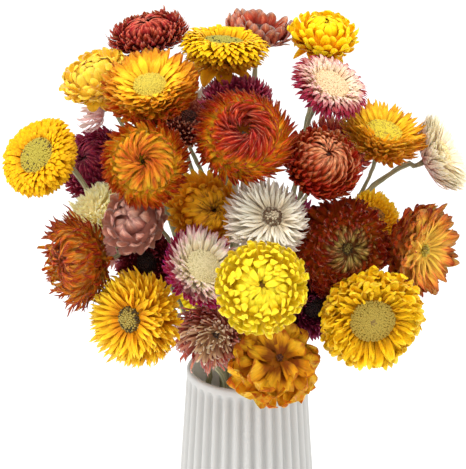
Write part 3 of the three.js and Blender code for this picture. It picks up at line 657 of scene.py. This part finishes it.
def bracts(keys, radius, rng, look, count):
    """All the bracts of a head, as closed sheets in a spiral from the outermost to the innermost."""
    share = np.arange(count) / (count - 1)
    t, columns = (FINE_STATIONS, FINE_COLUMNS) if look["wide"] > BROAD else (STATIONS, COLUMNS)
    root_r, root_z, tip_r, tip_z, pitch_0, pitch_1, width = (
        np.interp(share, keys[:, 0], keys[:, i]) for i in range(1, 8)
    )
    azimuth = np.arange(count) * GOLDEN_ANGLE + rng.normal(0, TURN_CHANCE, count)
    lobes = rng.uniform(0, WAVE_START, 4)
    uneven = 1 + 0.025 * np.sin(2 * azimuth + lobes[0]) + 0.02 * np.sin(3 * azimuth + lobes[1])
    heave = 0.04 * np.sin(azimuth + lobes[2]) + 0.03 * np.sin(3 * azimuth + lobes[3])
    spread = look["spread"]
    tip_r = tip_r * uneven + spread * rng.normal(0, REACH_CHANCE, count)
    tip_z = tip_z + heave * share + spread * rng.normal(0, HEIGHT_CHANCE, count)
    pitch_0 = np.radians(pitch_0 + spread * rng.normal(0, ROOT_CHANCE, count))
    pitch_1 = np.radians(pitch_1 + look["tips"] + spread * rng.normal(0, TIP_CHANCE, count))
    width = width * look["wide"] * rng.uniform(0.8, 1.2, count)
    width = width * np.interp(share, [0.18, 0.26], [look["skirt"], 1])
    width = width * np.interp(share, [0.78, 0.9], [1, look["teeth"]])
    side = look["swirl"] * (1 - 0.75 * share ** 8) + spread * rng.normal(0, SIDE_CHANCE, count)
    rough = look["rough"]
    twist = rough * rng.normal(0, TWIST_CHANCE, count) * (1 - 0.5 * share)
    cup = rough * (0.35 + rng.uniform(-0.2, 0.3, count)) * (1 - 0.5 * share)
    curl = look["curl"]
    waves = rng.uniform(0, WAVE_START, (2, count))

    chord = np.hypot(tip_r - root_r, tip_z - root_z)
    pull = PULL * chord

    def along_spine(root, tip, leave, arrive):
        root, tip, leave, arrive = (value[:, None] for value in (root, tip, leave, arrive))
        bend = 2 * root - 2 * tip + leave + arrive
        lean = 3 * tip - 3 * root - 2 * leave - arrive
        return ((bend * t + lean) * t + leave) * t + root, (3 * bend * t + 2 * lean) * t + leave

    spine_r, rate_r = along_spine(root_r, tip_r, pull * np.cos(pitch_0), pull * np.cos(pitch_1))
    spine_z, rate_z = along_spine(root_z, tip_z, pull * np.sin(pitch_0), pull * np.sin(pitch_1))
    pitch = np.arctan2(rate_z, rate_r)
    wavy = 0.05 * curl * np.sin(9 * t + waves[0][:, None]) * t
    spine_r, spine_z = spine_r - wavy * np.sin(pitch), spine_z + wavy * np.cos(pitch)
    spine_y = chord[:, None] * side[:, None] * t ** 2

    half = 0.5 * width[:, None] * outline_of_bract(t, look["blunt"], look["fan"])
    s = np.linspace(-1, 1, columns)
    flat = half[:, :, None] * s
    lift = half[:, :, None] * cup[:, None, None] * s ** 2
    ripple = np.sin(5 * t[:, None] + 2.4 * s + waves[1][:, None, None])
    lift = lift + curl * 0.35 * half[:, :, None] * ripple
    turn = (twist[:, None] * t)[:, :, None]
    flat, lift = flat * np.cos(turn) - lift * np.sin(turn), flat * np.sin(turn) + lift * np.cos(turn)
    thick = 0.5 * BRACT_THICKNESS / radius * (1 - s ** 2) * np.sin(np.pi * np.clip(t, 0.02, 0.98))[:, None]

    def place(offset):
        normal = lift + offset
        r = spine_r[:, :, None] - np.sin(pitch)[:, :, None] * normal
        z = spine_z[:, :, None] + np.cos(pitch)[:, :, None] * normal
        y = spine_y[:, :, None] + flat
        c, k = np.cos(azimuth)[:, None, None], np.sin(azimuth)[:, None, None]
        return np.stack([r * c - y * k, r * k + y * c, z], -1)

    top = place(thick)
    under = place(-thick)[:, 1:-1, 1:-1]
    points = np.concatenate([top.reshape(count, -1, 3), under.reshape(count, -1, 3)], 1) * radius
    template, rim = closed_sheet_template(len(t), columns)

    def spread_over(values):
        full = np.broadcast_to(values, (count, len(t), columns))
        return np.concatenate([full.reshape(count, -1), full[:, 1:-1, 1:-1].reshape(count, -1)], 1)

    per_bract = points.shape[1]
    chance = rng.uniform(0, 1, count)
    faces = template + (np.arange(count) * per_bract)[:, None, None]
    return {
        "points": points, "faces": [faces.reshape(-1, 4)], "rim": np.broadcast_to(rim, (count, per_bract)),
        "along": spread_over(t[:, None]), "across": spread_over(s),
        "whorl": spread_over(share[:, None, None]), "chance": spread_over(chance[:, None, None]),
    }


def lathe_faces(rings, sides):
    """The faces of a closed surface of rings between two poles, which are its first and its last point."""
    grid = 1 + np.arange(rings * sides).reshape(rings, sides)
    grid = np.concatenate([grid, grid[:, :1]], 1)
    low = np.stack([grid[0, 1:], grid[0, :-1], np.zeros(sides, int)], -1)
    high = np.stack([grid[-1, :-1], grid[-1, 1:], np.full(sides, rings * sides + 1)], -1)
    return [low, grid_quads(grid, flip=True), high]


def closed_lathe(first, rings, last, sides):
    """A closed round surface from rings (radius or radii, height), between two poles."""
    angles = angles_round(sides)
    body = [np.stack([r * np.cos(angles), r * np.sin(angles), np.full(sides, z)], -1) for r, z in rings]
    points = np.concatenate([[(0, 0, first)], *body, [(0, 0, last)]])
    return {"points": points, "faces": lathe_faces(len(rings), sides)}


def florets(radius, rng, rim, rim_z, centre_z, look):
    """The disc's florets: fine five-sided buds in a spiral over a dome, with dark ones as the look says."""
    size = FLORET_RADIUS / radius
    relief = look["relief"]
    count = max(12, int((1.6 - 0.85 * relief) * (rim / size) ** 2))
    share = (np.arange(count) + 0.5) / count
    r = rim * np.sqrt(share) + rng.normal(0, 0.25 * size, count)
    azimuth = np.arange(count) * GOLDEN_ANGLE + rng.normal(0, 0.03, count)
    z = centre_z + (rim_z - centre_z) * share + relief * rng.uniform(-0.01, 0.02, count)
    angles = angles_round(FLORET_SIDES)
    profile = [(1.3, -0.05), (1, 0), (0, 0.015 * relief)]
    rings = []
    for width, height in profile:
        corners = angles if width else angles[:1]
        x = (r * np.cos(azimuth))[:, None] + size * width * np.cos(corners)
        y = (r * np.sin(azimuth))[:, None] + size * width * np.sin(corners)
        rings.append(np.stack([x, y, np.broadcast_to(z[:, None] + height, x.shape)], -1))
    points = np.concatenate(rings, 1) * radius
    top = 2 * FLORET_SIDES
    grid = np.arange(top).reshape(2, FLORET_SIDES)
    grid = np.concatenate([grid, grid[:, :1]], 1)
    offsets = (np.arange(count) * (top + 1))[:, None, None]
    sides = (grid_quads(grid, flip=True) + offsets).reshape(-1, 4)
    peak = np.stack([grid[1, :-1], grid[1, 1:], np.full(FLORET_SIDES, top)], -1)
    tops = (peak + offsets).reshape(-1, 3)
    base = (grid[:1, -2::-1] + offsets).reshape(-1, FLORET_SIDES)
    along = np.broadcast_to([0] * FLORET_SIDES + [0.8] * FLORET_SIDES + [1], (count, top + 1))
    chance = rng.uniform(0, 1, count)
    if "ring" in look:
        dark = r > look["ring"] * rim if look["ring"] > 0 else r < -look["ring"] * rim
        chance = np.where(dark, 0.6 + 0.4 * chance, 0.6 * chance)
    elif "dots" in look:
        chance = np.where((chance < look["dots"]) & (r > 0.45 * rim), 1, 0.6 * chance)
    chance = np.broadcast_to(chance[:, None], along.shape)
    return {"points": points, "faces": [sides, tops, base], "material": 1, "along": along, "chance": chance}


def make_head(number, head):
    """One head: its bracts, its core under them, its disc's florets and, on some, hanging bracts."""
    name, at, face, width, kind, colour, colours, apart = head
    outer, inner, middle = colours.split(", ")
    look = dict(LOOK, **apart)
    rng = np.random.default_rng(HEAD_SEED + number)
    radius = width / 2
    count = look.get("count", BACK_COUNT if number >= FIRST_BACK_HEAD else COUNT)
    keys, disc = form_of_head(kind, look)
    rim_z, centre_z = (look["tall"] * z for z in DISCS[look.get("form", kind)])
    outline = [(0.12, 0.01 - SEATS[kind]), *keys[:, 1:3], (disc, rim_z - CORE_SINK)]
    rings = [(r * radius, z * radius) for r, z in outline]
    core = closed_lathe(-SEATS[kind] * radius, rings, (centre_z - CORE_SINK) * radius, CORE_SIDES)
    whorl = np.concatenate([[0], np.repeat(np.linspace(0, 1, len(rings)), CORE_SIDES), [1]])
    core.update(along=0.25, whorl=whorl, chance=0.5)
    parts = [bracts(keys, radius, rng, look, count), core, florets(radius, rng, disc, rim_z, centre_z, look)]
    if "hang" in look:
        hanging = bracts(HANGING_KEYS, radius, rng, HANGING_LOOK, look["hang"])
        parts.append({**hanging, "whorl": 0})
    right, up = look["lean"]
    axes = facing_axes(face)
    centre = np.array(at, float) + (0, 0, VASE_HEIGHT)
    for part in parts:
        inward = np.clip(1 - np.linalg.norm(part["points"][..., :2], axis=-1) / radius, 0, 1)
        moved = inward[..., None] * radius * (right * ACROSS_VIEW + up * UP_VIEW)
        part["points"] = part["points"] @ axes.T + centre + moved
    materials = bract_material(name + "_bracts", outer, inner, look), disc_material(name + "_disc", middle)
    piece = new_piece("bloom" + name[4:], parts, materials)
    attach(piece, "root")
    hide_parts(name)


def ceramic_material():
    """Matt white glaze with a faint cloud in it and a very fine grain, with painted shade in the grooves and
    painted light inside.
    """
    nodes = Nodes("white_ceramic")
    place = nodes.add("ShaderNodeTexCoord").outputs["Object"]
    cloud = nodes.noise(place, 14, 3)
    grain = nodes.noise(place, 700, 3)
    colour = nodes.ramp(cloud, [(0.3, (0.5, 0.497, 0.478)), (0.7, (0.53, 0.527, 0.508))])
    part = nodes.attribute("whorl")
    # Painted shade: the grooves are darkened towards their bottoms.
    colour = nodes.mix(nodes.span(part, -1, 0, 0.6, 0), colour, (0.3, 0.297, 0.285))
    # Painted light: the inside of the vase is painted much lighter than the glaze outside, against the shade
    # there.
    colour = nodes.mix(nodes.span(part, 0, 1), colour, (0.97, 0.97, 0.93))
    nodes.bump(grain, 0.12, 0.0003)
    return nodes.finish(colour, nodes.span(grain, 0.3, 0.7, 0.42, 0.56))


def make_vase():
    """The vase with rounded flutes and fine grooves between them, which end below a plain lip.

    The material reads 1 as inside the vase, which it paints lighter as painted light, and 0 to -1 as from the
    ridges to the bottom of the grooves, which it darkens with painted shade.
    """
    sides = FLUTES * POINTS_PER_FLUTE
    within = (angles_round(sides) * FLUTES / (2 * np.pi)) % 1 - 0.5
    groove = np.sin(np.pi * within) ** 2
    rings, whorl = [], [[0]]
    for r, z in VASE_OUTSIDE:
        depth = FLUTE_DEPTH * np.interp(z, FLUTE_ENDS, [0, 1, 1, 0])
        rings.append((r - depth * groove, z))
        whorl.append(-groove ** 2 * (depth > 0))
    for i, ring in enumerate(VASE_INSIDE):
        rings.append(ring)
        whorl.append(np.full(sides, float(i >= LIP_RINGS)))
    part = closed_lathe(0, rings, VASE_FLOOR, sides)
    part["whorl"] = np.concatenate(whorl + [[1]])
    piece = new_piece("fluted_vase", [part], [ceramic_material()])
    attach(piece, "root")
    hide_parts("vase")


def smooth_curve(points, per_span=24):
    """A centripetal Catmull-Rom curve through the points, as one dense row of points."""
    p = [np.array(point, float) for point in points]
    p = [2 * p[0] - p[1]] + p + [2 * p[-1] - p[-2]]
    out = []
    for a, b, c, d in zip(p, p[1:], p[2:], p[3:]):
        d0, d1, d2 = (max(np.linalg.norm(v), 1e-6) ** 0.5 for v in (b - a, c - b, d - c))
        m1 = ((b - a) / d0 - (c - a) / (d0 + d1) + (c - b) / d1) * d1
        m2 = ((c - b) / d1 - (d - b) / (d1 + d2) + (d - c) / d2) * d1
        t = np.linspace(0, 1, per_span, endpoint=False)[:, None]
        out.append(b + m1 * t + (-3 * b + 3 * c - 2 * m1 - m2) * t ** 2 + (2 * b - 2 * c + m1 + m2) * t ** 3)
    return np.concatenate(out + [p[-2][None]])


def point_at(curve, share):
    """The point of a dense curve at a share of its length, and the curve's direction there."""
    steps = np.linalg.norm(np.diff(curve, axis=0), axis=1)
    length = np.concatenate([[0], np.cumsum(steps)])
    place = share * length[-1]
    point = np.array([np.interp(place, length, curve[:, i]) for i in range(3)])
    i = min(np.searchsorted(length, place, side="right"), len(curve) - 1)
    return point, (curve[i] - curve[i - 1]) / steps[i - 1]


def tube_part(curve, radius, rng, sides):
    """A dry striped stem: a ribbed tube with closed ends that is a little uneven all along."""
    length = np.linalg.norm(np.diff(curve, axis=0), axis=1).sum()
    count = max(8, int(length / TUBE_STEP))
    stations = [point_at(curve, share) for share in np.linspace(0, 1, count)]
    side = np.cross(stations[0][1], (0.3, 0.9, 0.1))
    angles = angles_round(sides)
    rings = []
    for i, (point, along) in enumerate(stations):
        side = side - along * side.dot(along)
        side = side / np.linalg.norm(side)
        other = np.cross(along, side)
        here = radius * (1 + 0.1 * np.sin(0.9 * i + rng.uniform(0, 0.8))) * (1.25 if i == count - 1 else 1)
        ribs = here * (1 + 0.1 * (np.arange(sides) % 2) + rng.uniform(-0.04, 0.04, sides))
        wander = rng.normal(0, 0.12, 2) * (0 < i < count - 1)
        middle = point + wander[0] * side + wander[1] * other
        round_it = np.cos(angles)[:, None] * side + np.sin(angles)[:, None] * other
        rings.append(middle + ribs[:, None] * round_it)
    points = np.concatenate([[stations[0][0]], np.concatenate(rings), [stations[-1][0]]])
    along = np.concatenate([[0], np.repeat(np.linspace(0, length / 10, count), sides), [length / 10]])
    across = np.concatenate([[0], np.tile(np.cos(angles), count), [0]])
    whorl = np.concatenate([[0], np.tile(np.sin(angles), count), [0]])
    return {
        "points": points, "faces": lathe_faces(count, sides),
        "along": along, "across": across, "whorl": whorl, "chance": rng.uniform(),
    }


def leaf_part(start, along, rng):
    """A dry leaf that leaves a twig, curls up and in on itself and has wavy edges."""
    along = along / np.linalg.norm(along)
    side = np.cross(along, (0, 0, 1))
    side = side / np.linalg.norm(side)
    out = np.cross(side, along)
    t = np.linspace(0, 1, 13)
    bend = 0.2 + 2.9 * t ** 1.2
    steps = LEAF_LENGTH * np.diff(t)
    middle = 0.5 * (bend[1:] + bend[:-1])
    run, rise = (np.concatenate([[0], np.cumsum(way(middle) * steps)]) for way in (np.cos, np.sin))
    half = 0.5 * LEAF_WIDTH * np.sin(np.pi * (0.12 + 0.86 * t)) ** 0.8
    s = np.linspace(-1, 1, 5)
    wave = 0.5 * np.sin(9 * t[:, None] + 2.5 * s + rng.uniform(0, 6)) * np.abs(s)
    lift = 0.35 * half[:, None] * s ** 2 + 0.3 * wave

    def place(offset):
        normal = lift + offset
        a = run[:, None] - np.sin(bend)[:, None] * normal
        b = rise[:, None] + np.cos(bend)[:, None] * normal
        flat = half[:, None] * s
        return start + a[..., None] * along + b[..., None] * out + flat[..., None] * side

    thick = 0.25 * (1 - s ** 2) * np.sin(np.pi * np.clip(t, 0.03, 0.97))[:, None]
    top, under = place(thick), place(-thick)[1:-1, 1:-1]
    faces, rim = closed_sheet_template(len(t), len(s))
    points = np.concatenate([top.reshape(-1, 3), under.reshape(-1, 3)])
    along_values = np.broadcast_to(t[:, None], (len(t), len(s)))
    values = np.concatenate([along_values.ravel(), along_values[1:-1, 1:-1].ravel()])
    return {"points": points, "faces": [faces], "rim": rim, "along": values, "chance": 0.9, "across": 0.5}


def stem_material():
    """Dry stems: grey-green to straw in patches, and striped along."""
    nodes = Nodes("dry_stem")
    along, across, whorl, chance = (nodes.attribute(key) for key in ATTRIBUTES)
    chance = nodes.times(chance, 20)
    around = nodes.vector(across, whorl, nodes.math("MULTIPLY_ADD", along, 0.25, chance))
    stripes = nodes.noise(around, 2.6, 4)
    patches = nodes.noise(nodes.vector(0, 0, nodes.math("ADD", along, chance)), 1.1, 3)
    straw, green = (nodes.colours(stripes, (0.32, 0.5, 0.68), text) for text in STEM_COLOURS)
    colour = nodes.mix(nodes.span(patches, 0.4, 0.6), straw, green)
    nodes.bump(stripes, 0.5, 0.0004)
    return nodes.finish(colour, nodes.span(stripes, 0.3, 0.7, 0.85, 0.6))


def upper_points(start, number):
    """The points that a stem passes from its start to its head's seat."""
    at, face, width, kind = HEADS[number - 1][1:5]
    axis = np.array(face, float) / np.linalg.norm(face)
    above = np.array((0, 0, VASE_HEIGHT))
    seat = above + at - axis * (SEATS[kind] * width / 2 + SEAT_GAP)
    if number in VIA:
        return [*(above + point for point in VIA[number]), seat - STRAIGHT_END * axis, seat]
    behind = seat - BEND_LENGTH * axis
    return [(start + behind) / 2, behind, seat]


def make_stem(order, name, neck, heads, leaf_on, material):
    """One stem with its twigs: straight inside the vase, and bent above it towards each head's seat."""
    rng = np.random.default_rng(STEM_SEED + order)
    neck = np.array((*neck, VASE_HEIGHT), float)
    foot = np.array((*FOOT_SPREAD * neck[:2], VASE_FLOOR + FLOOR_GAP))
    bottom = foot + (neck - foot) * BENDS_FROM
    upper = smooth_curve([bottom, neck, *upper_points(neck, heads[0])])
    straight = foot + (bottom - foot) * np.linspace(0, 1, 60, endpoint=False)[:, None]
    parts = [tube_part(np.concatenate([straight, upper]), STEM_RADIUS, rng, STEM_SIDES)]
    for i, number in enumerate(heads[1:]):
        start = point_at(upper, (FORKS_FROM + i) / FORK_STEPS)[0]
        twig = smooth_curve([start, *upper_points(start, number)])
        parts.append(tube_part(twig, TWIG_RADIUS, rng, TWIG_SIDES))
        if i == leaf_on:
            parts.append(leaf_part(*point_at(twig, 0.5), rng))
    piece = new_piece("stalk_" + name, parts, [material])
    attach(piece, "root")
    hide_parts("stem_" + name)


def set_camera():
    """The photograph's view: the front of the bunch, a little from above, through a long lens."""
    data = bpy.data.cameras.new("view")
    data.sensor_width = SENSOR
    data.lens = SENSOR * FOCAL_LENGTH / PICTURE_HEIGHT
    data.clip_end = 50
    camera = add_object("view", data)
    camera.location = CAMERA_PLACE
    camera.rotation_euler = (math.radians(90 - ELEVATION), 0, 0)
    bpy.context.scene.camera = camera


def add_light(name, place, aim, size, power):
    """A round softbox."""
    data = bpy.data.lights.new(name, "AREA")
    data.shape = "DISK"
    data.size = size
    data.energy = power
    light = add_object(name, data)
    light.location = place
    light.rotation_euler = (Vector(aim) - Vector(place)).to_track_quat("-Z", "Y").to_euler()


def set_light_and_floor():
    """Soft white studio light over a plain pale floor."""
    world = bpy.data.worlds.new("studio")
    world.use_nodes = True
    background = world.node_tree.nodes["Background"]
    background.inputs[0].default_value = (1, 1, 1, 1)
    background.inputs[1].default_value = 1
    bpy.context.scene.world = world
    for name, values in LIGHTS.items():
        add_light(name, *values)
    bpy.context.scene.view_settings.view_transform = "Standard"
    nodes = Nodes("pale_floor")
    cloud = nodes.noise(nodes.add("ShaderNodeTexCoord").outputs["Object"], 3, 2)
    nodes.finish(nodes.ramp(cloud, [(0, (0.93, 0.93, 0.93)), (1, (0.96, 0.96, 0.96))]), 0.9)
    mesh = bpy.data.meshes.new("floor")
    far = FLOOR_REACH
    mesh.from_pydata([(-far, -far, 0), (far, -far, 0), (far, far, 0), (-far, far, 0)], [], [(0, 1, 2, 3)])
    mesh.materials.append(nodes.material)
    floor = add_object("floor", mesh)


set_camera()
set_light_and_floor()
make_vase()
dry_stem = stem_material()
for order, (name, stem) in enumerate(STEMS.items()):
    make_stem(order, name, *stem, dry_stem)
for number, head in enumerate(HEADS, 1):
    make_head(number, head)
